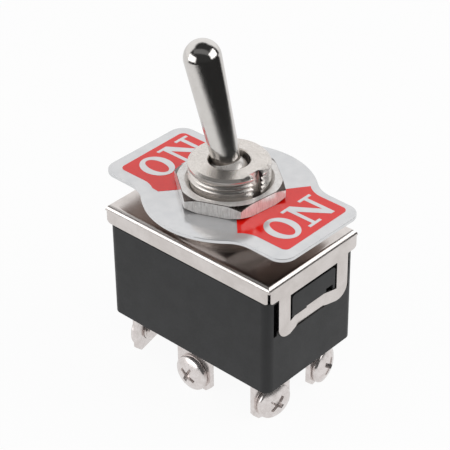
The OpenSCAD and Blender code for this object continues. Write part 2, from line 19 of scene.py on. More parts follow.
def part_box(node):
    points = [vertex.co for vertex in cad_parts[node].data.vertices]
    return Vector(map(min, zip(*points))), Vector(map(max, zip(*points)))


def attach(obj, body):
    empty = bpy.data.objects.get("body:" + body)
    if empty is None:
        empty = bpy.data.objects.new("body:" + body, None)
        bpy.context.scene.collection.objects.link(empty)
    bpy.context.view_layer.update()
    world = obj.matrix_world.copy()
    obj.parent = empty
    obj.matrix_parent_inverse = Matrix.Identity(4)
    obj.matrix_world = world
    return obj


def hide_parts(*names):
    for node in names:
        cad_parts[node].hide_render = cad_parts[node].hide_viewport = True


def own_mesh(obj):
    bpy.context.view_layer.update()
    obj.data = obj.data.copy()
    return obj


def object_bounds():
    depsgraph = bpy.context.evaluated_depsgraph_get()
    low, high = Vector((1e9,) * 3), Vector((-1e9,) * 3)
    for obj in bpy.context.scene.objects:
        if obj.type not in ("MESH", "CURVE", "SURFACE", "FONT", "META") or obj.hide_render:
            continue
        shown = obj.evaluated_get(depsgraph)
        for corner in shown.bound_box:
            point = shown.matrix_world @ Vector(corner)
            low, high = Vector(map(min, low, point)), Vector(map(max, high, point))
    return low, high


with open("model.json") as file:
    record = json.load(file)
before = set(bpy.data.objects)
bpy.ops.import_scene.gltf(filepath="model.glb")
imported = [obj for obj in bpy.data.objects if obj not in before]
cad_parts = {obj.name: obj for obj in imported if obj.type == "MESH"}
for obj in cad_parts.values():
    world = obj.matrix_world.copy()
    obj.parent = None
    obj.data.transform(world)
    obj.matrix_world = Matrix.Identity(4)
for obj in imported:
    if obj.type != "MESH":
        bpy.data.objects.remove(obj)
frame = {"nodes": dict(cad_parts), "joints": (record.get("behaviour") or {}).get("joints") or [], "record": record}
cad_low, cad_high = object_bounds()
MM = 0.001
print("CAD box, mm:", [round(v / MM, 2) for v in (*cad_low, *cad_high)])


# %% [markdown]
# ## Camera
#
# A small part looks right from well back through a long lens, because its
# parallel edges then stay nearly parallel. The camera is placed on a sphere
# round a point inside the switch: a turn, a rise and a distance say where, and
# a slight roll tips it sideways.

# %% Camera
CAMERA_TURN, CAMERA_RISE, CAMERA_ROLL = (math.radians(v) for v in (42.57, 34.27, -0.73))
CAMERA_DISTANCE = 251.34 * MM
CAMERA_AIM = Vector((-1.02, 0, -8.95)) * MM
SENSOR_WIDTH, LENS_LENGTH = 36, 137.39
CLIP_NEAR, CLIP_FAR = 0.005, 20

camera_back = Vector((math.sin(CAMERA_TURN) * math.cos(CAMERA_RISE),
                      -math.cos(CAMERA_TURN) * math.cos(CAMERA_RISE), math.sin(CAMERA_RISE)))
level_right = Vector((math.cos(CAMERA_TURN), math.sin(CAMERA_TURN), 0))
level_up = camera_back.cross(level_right)
camera_right = math.cos(CAMERA_ROLL) * level_right + math.sin(CAMERA_ROLL) * level_up
camera_up = math.cos(CAMERA_ROLL) * level_up - math.sin(CAMERA_ROLL) * level_right

camera = bpy.data.objects.new("camera", bpy.data.cameras.new("camera"))
bpy.context.scene.collection.objects.link(camera)
camera.matrix_world = Matrix.Translation(CAMERA_AIM + camera_back * CAMERA_DISTANCE) @ \
    Matrix((camera_right, camera_up, camera_back)).transposed().to_4x4()
camera.data.sensor_width, camera.data.lens = SENSOR_WIDTH, LENS_LENGTH
camera.data.clip_start, camera.data.clip_end = CLIP_NEAR, CLIP_FAR
bpy.context.scene.camera = camera
print("camera at, mm:", [round(v / MM, 1) for v in camera.location])


# %% [markdown]
# ## Light
#
# Polished metal shows the room more than itself, so the room is what has to be
# built. Two upright soft boxes light the sides and show as white windows in the
# lever's tip, and a dim panel overhead lifts the tops. They are area lamps,
# placed by a turn and a rise round the point that the camera aims at, and
# turned to face it.

# %% Soft boxes
def direction(turn, rise):
    turn, rise = math.radians(turn), math.radians(rise)
    return Vector((math.cos(turn) * math.cos(rise), math.sin(turn) * math.cos(rise), math.sin(rise)))


def soft_box(name, turn, rise, distance, width, height, radiance):
    """A rectangular lamp that faces the aim point: angles in degrees, sizes in metres."""
    lamp = bpy.data.lights.new(name, "AREA")
    lamp.shape, lamp.size, lamp.size_y = "RECTANGLE", width, height
    lamp.energy = radiance * math.pi * width * height
    box = bpy.data.objects.new(name, lamp)
    away = direction(turn, rise)
    box.location = CAMERA_AIM + away * distance
    box.rotation_euler = away.to_track_quat("Z", "Y").to_euler()
    bpy.context.scene.collection.objects.link(box)


soft_box("box_left", -114, 10.5, 0.40, 0.36, 0.23, 1.9)
soft_box("box_right", 32, 29, 0.40, 0.36, 0.24, 1.9)
soft_box("panel_above", -60, 66, 0.45, 0.80, 0.22, 0.14)
for lamp in bpy.data.lights:
    print(lamp.name, "W:", round(lamp.energy, 3))


# %% [markdown]
# ## Nodes, written short
#
# A node tree is a list of nodes and wires, and written out in full it hides
# what it does. So one helper adds a node, wires the inputs that are given
# sockets and sets the ones that are given values. The steps that come back
# most, such as an eased step or a mix of two values, get a name of their own.

# %% Node helpers
class Nodes:
    """Short way to add nodes to a tree and to wire or set their inputs."""

    def __init__(self, tree):
        self.tree = tree
        tree.nodes.clear()

    def add(self, kind, inputs=None, **settings):
        node = self.tree.nodes.new("ShaderNode" + kind)
        for key, value in settings.items():
            setattr(node, key, value)
        for key, value in (inputs or {}).items():
            if isinstance(value, bpy.types.NodeSocket):
                self.tree.links.new(value, node.inputs[key])
            else:
                node.inputs[key].default_value = value
        return node

    def smooth_step(self, value, start, end):
        """0 before start, 1 after end, eased between them."""
        return self.add("MapRange", {"Value": value, "From Min": start, "From Max": end},
                        interpolation_type="SMOOTHSTEP").outputs["Result"]

    def spread(self, value, low, high):
        """A value from 0 to 1, spread from low to high."""
        return self.add("MapRange", {"Value": value, "To Min": low, "To Max": high}).outputs["Result"]

    def arithmetic(self, operation, first, second):
        return self.add("Math", {0: first, 1: second}, operation=operation).outputs[0]

    def vector(self, operation, first, second):
        return self.add("VectorMath", {0: first, 1: second}, operation=operation)

    def mix(self, share, first, second):
        """A number: first where share is 0, second where it is 1."""
        return self.add("Mix", {"Factor": share, 2: first, 3: second}, data_type="FLOAT").outputs[0]

    def mix_colour(self, share, first, second):
        """A colour: first where share is 0, second where it is 1."""
        return self.add("Mix", {"Factor": share, 6: first, 7: second}, data_type="RGBA").outputs[2]

    def mix_shader(self, share, first, second):
        return self.add("MixShader", {0: share, 1: first, 2: second}).outputs[0]


WHITE = (1, 1, 1, 1)
print("node helpers:", [name for name in vars(Nodes) if not name.startswith("_")])


# %% [markdown]
# ## Room
#
# The rest of the room is painted on the world, by direction: a white backdrop
# behind the switch that ends part of the way up, and a dark room in front and
# above. Only mirror rays see it. Other rays meet an even grey, which keeps the
# shadows soft, and the camera sees plain white.

# %% World
BACKDROP_SIDE = (-0.853, 0.522, 0)
BACKDROP_EDGE, BACKDROP_TOP = (0.24, 0.40), (0.72, 0.84)
DARK_ROOM, WHITE_BACKDROP, EVEN_GREY = 0.035, 0.95, 0.62

world = bpy.data.worlds.new("studio")
bpy.context.scene.world = world
world.use_nodes = True
nodes = Nodes(world.node_tree)
away = nodes.add("TexCoord").outputs["Generated"]
height = nodes.add("SeparateXYZ", {"Vector": away}).outputs["Z"]
backward = nodes.vector("DOT_PRODUCT", away, BACKDROP_SIDE).outputs["Value"]
behind = nodes.smooth_step(backward, *BACKDROP_EDGE)
below_top = nodes.arithmetic("SUBTRACT", 1.0, nodes.smooth_step(height, *BACKDROP_TOP))
room = nodes.spread(nodes.arithmetic("MULTIPLY", behind, below_top), DARK_ROOM, WHITE_BACKDROP)

path = nodes.add("LightPath")
lit = nodes.mix(path.outputs["Is Glossy Ray"], EVEN_GREY, room)
seen = nodes.mix(path.outputs["Is Camera Ray"], lit, 1.0)
sky = nodes.add("Background", {"Color": WHITE, "Strength": seen})
nodes.add("OutputWorld", {"Surface": sky.outputs[0]})
bpy.context.scene.view_settings.view_transform = "Standard"
print("world nodes:", len(world.node_tree.nodes))


# %% [markdown]
# ## Floor
#
# The switch stands on its six terminals on a white table. The camera sees it as
# almost pure white with a soft shadow. Metal sees something else: a white disc
# that ends a hand's width away, whose edge draws the dark band down the lever,
# and behind the switch a table that stays white as far as it goes.

# %% Table
TABLE_SIZE, TABLE_GAP = 2.0, 0.02 * MM

table_mesh = bpy.data.meshes.new("table")
bm = bmesh.new()
bmesh.ops.create_grid(bm, x_segments=1, y_segments=1, size=TABLE_SIZE)
bmesh.ops.translate(bm, vec=(0, 0, cad_low.z - TABLE_GAP), verts=bm.verts)
bm.to_mesh(table_mesh)
bm.free()
table = bpy.data.objects.new("table", table_mesh)
bpy.context.scene.collection.objects.link(table)
print("table at, mm:", round((cad_low.z - TABLE_GAP) / MM, 2))


# %% White paper
DISC_RADIUS, DISC_EDGE = 140 * MM, 0.04
FAR_START, FAR_END = 20 * MM, 60 * MM
MIRRORED_DARK, MIRRORED_WHITE = 0.025, 0.82
PAPER, SHADOW_SHARE = (0.86, 0.86, 0.86, 1), 0.06

paper = bpy.data.materials.new("white_paper")
paper.use_nodes = True
nodes = Nodes(paper.node_tree)
flat = nodes.vector("MULTIPLY", nodes.add("TexCoord").outputs["Object"], (1, 1, 0)).outputs[0]
reach = nodes.add("VectorMath", {0: flat}, operation="LENGTH").outputs["Value"]
near = nodes.smooth_step(reach, DISC_RADIUS * (1 + DISC_EDGE), DISC_RADIUS * (1 - DISC_EDGE))
backward = nodes.vector("DOT_PRODUCT", flat, BACKDROP_SIDE).outputs["Value"]
far = nodes.smooth_step(backward, FAR_START, FAR_END)
white_part = nodes.spread(nodes.arithmetic("MAXIMUM", near, far), MIRRORED_DARK, MIRRORED_WHITE)

path = nodes.add("LightPath")
matte = nodes.add("BsdfDiffuse", {"Color": PAPER}).outputs[0]
glow = nodes.add("Emission", {"Color": WHITE, "Strength": 1.0}).outputs[0]
mirrored = nodes.add("Emission", {"Color": WHITE, "Strength": white_part}).outputs[0]
for_camera = nodes.mix_shader(SHADOW_SHARE, glow, matte)
for_light = nodes.mix_shader(path.outputs["Is Glossy Ray"], matte, mirrored)
either = nodes.mix_shader(path.outputs["Is Camera Ray"], for_light, for_camera)
nodes.add("OutputMaterial", {"Surface": either})
table_mesh.materials.append(paper)
print("paper nodes:", len(paper.node_tree.nodes))


# %% [markdown]
# ## Shared effects
#
# Two effects come back in most finishes: a two-scale grain (fine tooth over
# broad clouds) and hairlines (noise pulled long). Each is built once as a node
# group with named sockets, and every material sets its own values.

# %% Grain
def group(name, inputs, outputs):
    """An empty node group: inputs are (name, kind, value), outputs are (name, kind)."""
    tree = bpy.data.node_groups.new(name, "ShaderNodeTree")
    for socket, kind, value in inputs:
        made = tree.interface.new_socket(socket, in_out="INPUT", socket_type=kind)
        if value is not None:
            made.default_value = value
    for socket, kind in outputs:
        tree.interface.new_socket(socket, in_out="OUTPUT", socket_type=kind)
    nodes = Nodes(tree)
    start = tree.nodes.new("NodeGroupInput").outputs
    end = tree.nodes.new("NodeGroupOutput").inputs
    return tree, nodes, start, end


grain, nodes, start, end = group(
    "grain", [("Vector", "NodeSocketVector", None), ("Fine", "NodeSocketFloat", 6000.0),
              ("Broad", "NodeSocketFloat", 400.0)],
    [("Fine mask", "NodeSocketFloat"), ("Broad mask", "NodeSocketFloat")])
fine = nodes.add("TexNoise", {"Vector": start["Vector"], "Scale": start["Fine"], "Detail": 3.0,
                              "Roughness": 0.6})
broad = nodes.add("TexNoise", {"Vector": start["Vector"], "Scale": start["Broad"], "Detail": 4.0,
                               "Roughness": 0.55})
grain.links.new(nodes.smooth_step(fine.outputs["Fac"], 0.32, 0.68), end["Fine mask"])
grain.links.new(nodes.smooth_step(broad.outputs["Fac"], 0.30, 0.70), end["Broad mask"])
print("grain nodes:", len(grain.nodes))


# %% Hairlines
LINE_FLOOR, LINE_PEAK = 0.78, 0.80

hairlines, nodes, start, end = group(
    "hairlines", [("Vector", "NodeSocketVector", None), ("Stretch", "NodeSocketVector", (300, 9000, 9000)),
                  ("Share", "NodeSocketFloat", 0.3)],
    [("Lines", "NodeSocketFloat")])
pulled = nodes.vector("MULTIPLY", start["Vector"], start["Stretch"]).outputs[0]
strands = nodes.add("TexNoise", {"Vector": pulled, "Scale": 1.0, "Detail": 2.0, "Roughness": 0.5})
# a larger share lets fainter strands through
lowest = nodes.arithmetic("SUBTRACT", LINE_FLOOR, start["Share"])
lines = nodes.add("MapRange", {"Value": strands.outputs["Fac"], "From Min": lowest, "From Max": LINE_PEAK})
hairlines.links.new(lines.outputs["Result"], end["Lines"])
print("node groups:", [g.name for g in bpy.data.node_groups])


# %% [markdown]
# ## Finishes
#
# One builder makes every finish. Its colour wanders a little between two tones,
# its roughness follows the grain, and a very shallow bump catches the light.
# Metallic is a plain number on the shader: 1 for bare plating, and less where a
# piece has to keep some brightness of its own while it faces the dark room.
# Only what changes over the surface comes through nodes.

# %% Finish builder
def tone(*srgb):
    """A colour as a painter would read it, 0 to 255, turned into light."""
    return tuple((c / 255 / 12.92 if c <= 10 else ((c / 255 + 0.055) / 1.055) ** 2.4) for c in srgb) + (1.0,)


def finish(name, light, dark, rough, metallic=1.0, fine=6000.0, broad=400.0, bump=1.5, tooth=0.3,
           stretch=None, lines=0.0, share=0.3, marks=None, **plain):
    """A material between a light and a dark tone, its roughness between the two values of rough.

    fine and broad are the grain's scales per metre, tooth the part of the fine grain in the colour,
    and bump its depth in µm. stretch adds hairlines, lines is their part in the bump, and share says
    how many there are. marks = (strength, tone) stains the hairlines. plain goes to the shader as it is.
    """
    material = bpy.data.materials.new(name)
    material.use_nodes = True
    nodes = Nodes(material.node_tree)
    place = nodes.add("TexCoord").outputs["Object"]
    masks = nodes.add("Group", node_tree=grain)
    nodes.tree.links.new(place, masks.inputs["Vector"])
    masks.inputs["Fine"].default_value, masks.inputs["Broad"].default_value = fine, broad
    fine_mask, broad_mask = masks.outputs["Fine mask"], masks.outputs["Broad mask"]
    mottle = nodes.mix(tooth, broad_mask, fine_mask)
    colour = nodes.mix_colour(mottle, dark, light)
    height = fine_mask
    if stretch:
        strands = nodes.add("Group", node_tree=hairlines)
        nodes.tree.links.new(place, strands.inputs["Vector"])
        strands.inputs["Stretch"].default_value, strands.inputs["Share"].default_value = stretch, share
        drawn = strands.outputs["Lines"]
        height = nodes.mix(lines, fine_mask, drawn)
        if marks:
            strength, stain = marks
            colour = nodes.mix_colour(nodes.arithmetic("MULTIPLY", drawn, strength), colour, stain)
    relief = nodes.add("Bump", {"Strength": 1.0, "Distance": bump * 1e-6, "Height": height})
    surface = nodes.add("BsdfPrincipled", {
        "Base Color": colour, "Metallic": metallic, "Roughness": nodes.spread(mottle, rough[1], rough[0]),
        "Normal": relief.outputs[0], **plain})
    nodes.add("OutputMaterial", {"Surface": surface.outputs[0]})
    material.diffuse_color = light
    return material


# %% Nickel, chrome and aluminium
plated_sheet = finish(
    "nickel_plated_sheet", tone(232, 226, 223), tone(214, 207, 203), (0.18, 0.27),
    fine=9000, broad=260, bump=1.2, stretch=(500, 9000, 9000), lines=0.5, share=0.26)
turned_nickel = finish(
    "turned_nickel", tone(238, 233, 228), tone(214, 207, 201), (0.17, 0.27), metallic=0.93,
    fine=8000, broad=900, bump=6.0, tooth=0.8)
# painted light: the nuts' nickel is near white and half matt so the flats read bright, standing in for the white
# plate they reflect; the stained hairlines are wrench marks
wrenched_nickel_painted_bright = finish(
    "nickel_on_the_nuts_painted_bright", tone(252, 251, 250), tone(228, 223, 219), (0.14, 0.28), metallic=0.5,
    fine=5200, broad=1500, bump=7.0, tooth=0.5, stretch=(6000, 6000, 700), lines=0.5, share=0.31,
    marks=(0.5, tone(96, 88, 84)))
# painted reflection: a dark nickel on the nuts' corner chamfers stands in for the dark room they reflect
shadowed_nickel = finish(
    "nickel_chamfers_painted_dark", tone(120, 112, 108), tone(84, 76, 73), (0.2, 0.34), fine=5200, bump=3.0)
screw_nickel = finish(
    "bright_screw_nickel", tone(240, 234, 232), tone(222, 214, 211), (0.15, 0.24), metallic=0.88,
    fine=7000, broad=1200)
bright_chrome = finish(
    "polished_chrome", tone(228, 225, 222), tone(216, 212, 208), (0.07, 0.12),
    fine=9000, broad=500, bump=2.6, tooth=0.5)
# painted light: the ball's chrome is lighter and partly matt, standing in for the bright reflection it shows; the
# higher roughness stands for rubbing
worn_chrome_painted_light = finish(
    "worn_chrome_painted_light", tone(238, 234, 230), tone(226, 221, 216), (0.24, 0.36), metallic=0.6,
    fine=9000, broad=700, bump=2.0, tooth=0.5)
satin_aluminium = finish(
    "satin_aluminium", tone(229, 229, 230), tone(217, 218, 220), (0.07, 0.13), metallic=0.6,
    fine=9000, broad=420, bump=1.6, stretch=(9000, 700, 9000), lines=0.4)
# painted shade: a dark warm tone for the shade under the plate, which the frame's top mirrors
plate_underside_painted_shade = finish(
    "plate_underside_painted_shade", tone(142, 126, 118), tone(118, 103, 96), (0.26, 0.38), bump=1.6)
print("metal finishes made, materials so far:", len(bpy.data.materials))


# %% Moulding, lacquer and what lies inside
black_moulding = finish(
    "black_moulding", tone(19, 20, 23), tone(15, 16, 18), (0.40, 0.54), metallic=0.0,
    fine=7000, broad=300, bump=5.0, tooth=0.6, **{"Specular IOR Level": 0.53})
brown_moulding = finish(
    "brown_moulding", tone(140, 62, 42), tone(116, 48, 34), (0.40, 0.55), metallic=0.0, bump=4.0)
red_lacquer = finish(
    "red_lacquer", tone(240, 28, 20), tone(232, 22, 16), (0.08, 0.13), metallic=0.0,
    fine=5000, broad=600, bump=0.5, **{"Specular IOR Level": 0.7})
# painted shade: a dark brown for the shade deep in the bushing's keyway
keyway_painted_shade = finish(
    "keyway_painted_shade", tone(44, 31, 30), tone(28, 20, 20), (0.55, 0.70), metallic=0.0, bump=3.0)
plain_brass = finish("plain_brass", tone(226, 200, 140), tone(196, 164, 100), (0.20, 0.36))
contact_silver = finish("contact_silver", tone(236, 234, 230), tone(210, 206, 200), (0.18, 0.34))
spring_wire = finish("spring_wire", tone(206, 204, 202), tone(170, 168, 166), (0.20, 0.34), bump=1.2)
fibre_sheet = finish(
    "fibre_sheet", tone(128, 92, 66), tone(98, 66, 46), (0.65, 0.85), metallic=0.0,
    fine=4000, broad=600, bump=12.0, stretch=(600, 6000, 6000), lines=0.5)
print("materials:", [m.name for m in bpy.data.materials])


# %% Finishes on the CAD solids
FINISH_OF_SLOT = {"nickel": turned_nickel, "chrome": bright_chrome, "black_plastic": black_moulding,
                  "aluminium": satin_aluminium, "brass": plain_brass, "silver": contact_silver,
                  "spring_steel": spring_wire, "fibre": fibre_sheet, "red_plastic": brown_moulding}
slot_of_node = {part["node"]: part["material_slot"] for part in frame["record"]["subparts"]}
for node, solid in frame["nodes"].items():
    solid.data.materials.clear()
    solid.data.materials.append(FINISH_OF_SLOT[slot_of_node[node]])
# the washer has the same bright plating as the screws
frame["nodes"]["lock_washer"].data.materials[0] = screw_nickel
print("solids with a finish:", len(frame["nodes"]))


# %% [markdown]
# ## Eased edges
#
# Stamped, turned and moulded parts never have knife edges: plating and tooling
# leave a radius of about a tenth of a millimetre, and that radius is what shows
# as a bright line. Each such solid is copied, its triangles are merged back
# into faces, and every hard edge is bevelled. A weighted-normal modifier then
# keeps the flats flat.
#
# Some faces get a second material that paints shade into the colour: the plate's
# underside, painted dark as the shade under the plate, which the frame's top
# mirrors, and the nuts' corner chamfers, painted dark for the dark part of the
# room that they face and reflect.

# %% Helpers for pieces
WELD, FLAT = 0.0005 * MM, math.radians(0.4)
SAME_PLACE = 0.0001 * MM


def show(name, bm, material, body="body", sharp=32, weighted=True):
    """Turns a finished bmesh into a piece that rides on a body."""
    mesh = bpy.data.meshes.new(name)
    bm.to_mesh(mesh)
    bm.free()
    mesh.materials.append(material)
    mesh.polygons.foreach_set("use_smooth", [True] * len(mesh.polygons))
    mesh.set_sharp_from_angle(angle=math.radians(sharp))
    piece = bpy.data.objects.new(name, mesh)
    bpy.context.scene.collection.objects.link(piece)
    if weighted:
        shading = piece.modifiers.new("flat faces", "WEIGHTED_NORMAL")
        shading.keep_sharp, shading.weight = True, 80
    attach(piece, body)
    return piece


def second_finish(piece, material, chosen):
    """Gives another material to the faces that chosen(face) picks."""
    piece.data.materials.append(material)
    for face in piece.data.polygons:
        if chosen(face):
            face.material_index = 1


def merged_copy(node):
    """The node's own mesh as a bmesh with shared corners and whole faces."""
    bm = bmesh.new()
    bm.from_mesh(frame["nodes"][node].data)
    bmesh.ops.remove_doubles(bm, verts=bm.verts, dist=WELD)
    bmesh.ops.dissolve_limit(bm, angle_limit=FLAT, verts=bm.verts, edges=bm.edges)
    return bm


def eased(node, name, material, width, over=38):
    """A copy of a node whose edges that turn by more than `over` degrees are rounded, width in mm."""
    bm = merged_copy(node)
    hard = [e for e in bm.edges if len(e.link_faces) == 2 and e.calc_face_angle() > math.radians(over)]
    bmesh.ops.bevel(bm, geom=hard, offset=width * MM, offset_type="OFFSET", segments=2, profile=0.5,
                    affect="EDGES", clamp_overlap=True, loop_slide=True, material=-1)
    bmesh.ops.remove_doubles(bm, verts=bm.verts, dist=WELD)
    piece = show(name, bm, material, "body")
    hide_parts(node)
    print(name, "edges eased:", len(hard), "faces:", len(piece.data.polygons))
    return piece


# %% Stamped and moulded pieces
SHEET_EASE, MOULDED_EASE = 0.07, 0.14

eased("frame", "folded_frame", plated_sheet, SHEET_EASE)
eased("housing", "moulded_housing", black_moulding, MOULDED_EASE)
plate = eased("legend_plate", "plate_blank", satin_aluminium, SHEET_EASE)
# painted shade on the plate's faces that look down
second_finish(plate, plate_underside_painted_shade, lambda face: face.normal.z < -0.5)


# %% Nuts
NUT_EASE, NUT_OVER = 0.12, 25
CHAMFER_FLATTEST, CHAMFER_STEEPEST, CHAMFER_REACH = 0.97, 0.2, 6.9


def in_chamfer(face):
    return (CHAMFER_STEEPEST < abs(face.normal.z) < CHAMFER_FLATTEST
            and face.center.xy.length > CHAMFER_REACH * MM)


for node, name in (("top_nut", "dress_nut"), ("lower_nut", "backing_nut")):
    # the nuts' bright colour is painted light
    nut = eased(node, name, wrenched_nickel_painted_bright, NUT_EASE, NUT_OVER)
    # painted reflection: the corner chamfers get the dark nickel
    second_finish(nut, shadowed_nickel, in_chamfer)


# %% Terminal blades
BLADE_EASE = 0.10
ENDS = [(side, end) for side in ("front", "rear") for end in ("left", "middle", "right")]

for side, end in ENDS:
    eased(f"terminal_{side}_{end}", f"blade_{side}_{end}", screw_nickel, BLADE_EASE)


# %% [markdown]
# ## Thread
#
# A thread is one groove wound round a cylinder. The groove's section is a V;
# `bmesh.ops.spin` winds it when it is given a climb for each step. The wound V
# is closed at its ends and cut out of the bushing, so the keyway and the bore
# stay as the CAD has them. The keyway's faces get painted shade: a dark brown
# for the shade that falls deep in the slot.

# %% Groove cutter and cutting
CUT_WELD = 0.0008 * MM
MOUTH_SHARE, CUTTER_PROUD = 0.46, 0.25


def groove(radius, pitch, depth, low, high, steps=72):
    """A wound V-shaped cutter about Z, all sizes in mm."""
    bm = bmesh.new()
    half = pitch * MOUTH_SHARE * (1 + CUTTER_PROUD / depth)
    root, top, bottom = (bm.verts.new((r * MM, 0, z * MM)) for r, z in (
        (radius - depth, low), (radius + CUTTER_PROUD, low + half), (radius + CUTTER_PROUD, low - half)))
    edges = [bm.edges.new(pair) for pair in ((root, top), (top, bottom), (bottom, root))]
    turns = (high - low) / pitch
    count = round(turns * steps)
    bmesh.ops.spin(bm, geom=[root, top, bottom, *edges], cent=(0, 0, 0), axis=(0, 0, 1),
                   dvec=(0, 0, (high - low) * MM / count), angle=2 * math.pi * turns, steps=count)
    bmesh.ops.holes_fill(bm, edges=[e for e in bm.edges if e.is_boundary])
    bmesh.ops.recalc_face_normals(bm, faces=bm.faces)
    return bm


def cut(bm, *cutters):
    """Takes the cutters away from bm, exactly, and returns the mesh that is left."""
    scene = bpy.context.scene.collection
    work_mesh = bpy.data.meshes.new("work")
    bm.to_mesh(work_mesh)
    work = bpy.data.objects.new("work", work_mesh)
    scene.objects.link(work)
    tools = []
    for cutter in cutters:
        mesh = bpy.data.meshes.new("tool")
        cutter.to_mesh(mesh)
        cutter.free()
        tool = bpy.data.objects.new("tool", mesh)
        scene.objects.link(tool)
        step = work.modifiers.new("cut", "BOOLEAN")
        step.operation, step.solver, step.object = "DIFFERENCE", "EXACT", tool
        tools.append(tool)
    evaluated = work.evaluated_get(bpy.context.evaluated_depsgraph_get())
    made = bpy.data.meshes.new_from_object(evaluated)
    for used in (work, *tools):
        bpy.data.objects.remove(used)
    bm.clear()
    bm.from_mesh(made)
    bmesh.ops.remove_doubles(bm, verts=bm.verts, dist=CUT_WELD)
    return bm


# %% Threaded bushing
THREAD_RADIUS, THREAD_PITCH, THREAD_DEPTH = 6.0, 0.75, 0.42
THREAD_LOW, THREAD_HIGH = -0.35, 2.0

bm = merged_copy("bushing")
bmesh.ops.triangulate(bm, faces=[f for f in bm.faces if len(f.verts) > 4])
bm = cut(bm, groove(THREAD_RADIUS, THREAD_PITCH, THREAD_DEPTH, THREAD_LOW, THREAD_HIGH))
bushing = show("threaded_bushing", bm, turned_nickel, "body", sharp=24)
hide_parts("bushing")
print("threaded bushing faces:", len(bushing.data.polygons))


# %% Keyway painted dark as shade
KEYWAY_TURN, KEYWAY_HALF = math.radians(-5), 0.88
KEYWAY_FLOOR, KEYWAY_MOUTH = 4.99, 6.05
KEYWAY_LOW, KEYWAY_HIGH = -0.2, 2.96


def in_keyway(face):
    spot = Matrix.Rotation(-KEYWAY_TURN, 3, "Z") @ face.center / MM
    return (KEYWAY_FLOOR < spot.x < KEYWAY_MOUTH and abs(spot.y) < KEYWAY_HALF
            and KEYWAY_LOW < spot.z < KEYWAY_HIGH)


# painted shade on the faces inside the keyway
second_finish(bushing, keyway_painted_shade, in_keyway)
print("faces in the keyway:", sum(face.material_index for face in bushing.data.polygons))


# %% [markdown]
# ## Lever
#
# The lever is one turned piece: a half-round tip, a cone that narrows towards
# the bushing, a ball and a tail. Its outline is drawn with a travelling vertex
# (straight runs are extruded, arcs are spun), and the outline is spun into a
# closed skin fine enough for mirror reflections. The ball, which rubs in its
# seat, is duller than the rest, and it has painted light as well: a lighter,
# partly matt colour that stands in for the bright reflection it shows.

# %% Turned pieces
def draw(bm, start, *moves):
    """Draws an outline in the XZ plane from its start, in mm and degrees.

    A move is ("line", r, z) or ("arc", centre r, centre z, degrees, steps).
    """
    tip = bm.verts.new((start[0] * MM, 0, start[1] * MM))
    outline = [tip]
    for kind, *values in moves:
        if kind == "line":
            tip = bmesh.ops.extrude_vert_indiv(bm, verts=[tip])["verts"][0]
            tip.co = (values[0] * MM, 0, values[1] * MM)
            outline.append(tip)
        else:
            r, z, degrees, steps = values
            known = set(bm.verts)
            made = bmesh.ops.spin(bm, geom=[tip], cent=(r * MM, 0, z * MM), axis=(0, 1, 0),
                                  angle=math.radians(degrees), steps=steps)
            tip = [v for v in made["geom_last"] if isinstance(v, bmesh.types.BMVert)][0]
            outline += [v for v in bm.verts if v not in known]
    return outline


def turn(bm, steps):
    """Spins the drawn outline once about Z and closes it."""
    bmesh.ops.spin(bm, geom=list(bm.verts) + list(bm.edges), cent=(0, 0, 0), axis=(0, 0, 1),
                   angle=2 * math.pi, steps=steps, use_merge=True)
    bmesh.ops.remove_doubles(bm, verts=bm.verts, dist=WELD)
    bmesh.ops.recalc_face_normals(bm, faces=bm.faces)


# %% Bat lever
LEVER_TILT = math.radians(15.9)
TIP_Z, TIP_RADIUS, NECK_RADIUS, BALL_RADIUS = 17.695, 2.75, 1.98, 2.95
NECK_Z, CONE_MIDDLE = 2.1, 10.1
TAIL_RADIUS, TAIL_Z, TAIL_BEVEL = 1.25, -14.7, 0.3
PIVOT_Z = frame["joints"][0]["pos_m"][2] / MM
on_lever = Matrix.Translation((0, 0, PIVOT_Z * MM)) @ Matrix.Rotation(-LEVER_TILT, 4, "Y")

taper = math.atan((TIP_RADIUS - NECK_RADIUS) / TIP_Z)
neck, middle = (NECK_RADIUS + math.tan(taper) * z for z in (NECK_Z, CONE_MIDDLE))
ball_start = math.degrees(math.asin(neck / BALL_RADIUS))
ball_end = 180 - math.degrees(math.asin(TAIL_RADIUS / BALL_RADIUS))
bm = bmesh.new()
draw(bm, (0, TIP_Z + TIP_RADIUS), ("arc", 0, TIP_Z, 90 + math.degrees(taper), 24),
     ("line", middle, CONE_MIDDLE), ("line", neck, BALL_RADIUS * math.cos(math.radians(ball_start))),
     ("arc", 0, 0, ball_end - ball_start, 16), ("line", TAIL_RADIUS, TAIL_Z + TAIL_BEVEL),
     ("line", TAIL_RADIUS - TAIL_BEVEL, TAIL_Z), ("line", 0, TAIL_Z))
turn(bm, 128)
bmesh.ops.transform(bm, matrix=on_lever, verts=bm.verts)
lever = show("turned_lever", bm, bright_chrome, "lever_arm", sharp=35, weighted=False)
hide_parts("lever")
print("lever faces:", len(lever.data.polygons), "pivot at, mm:", round(PIVOT_Z, 3))


# %% Rubbed ball, painted lighter
RUBBED_AND_PAINTED_LIGHT_REACH = BALL_RADIUS * 1.04

# rougher from rubbing, and painted lighter in place of reflection
second_finish(lever, worn_chrome_painted_light,
              lambda face: (face.center / MM - Vector((0, 0, PIVOT_Z))).length < RUBBED_AND_PAINTED_LIGHT_REACH)
print("faces on the ball:", sum(face.material_index for face in lever.data.polygons))


# %% [markdown]
# ## Terminal screws
#
# Each terminal has a pan-head screw with a crossed recess. One master screw is
# turned, its recess and its thread are cut, and six copies are put in place,
# each turned as a hand would have left it. The recess is cut by two tapered
# bars, one after the other: crossed in one cutter they would overlap, and an
# exact cut wants cutters that don't.

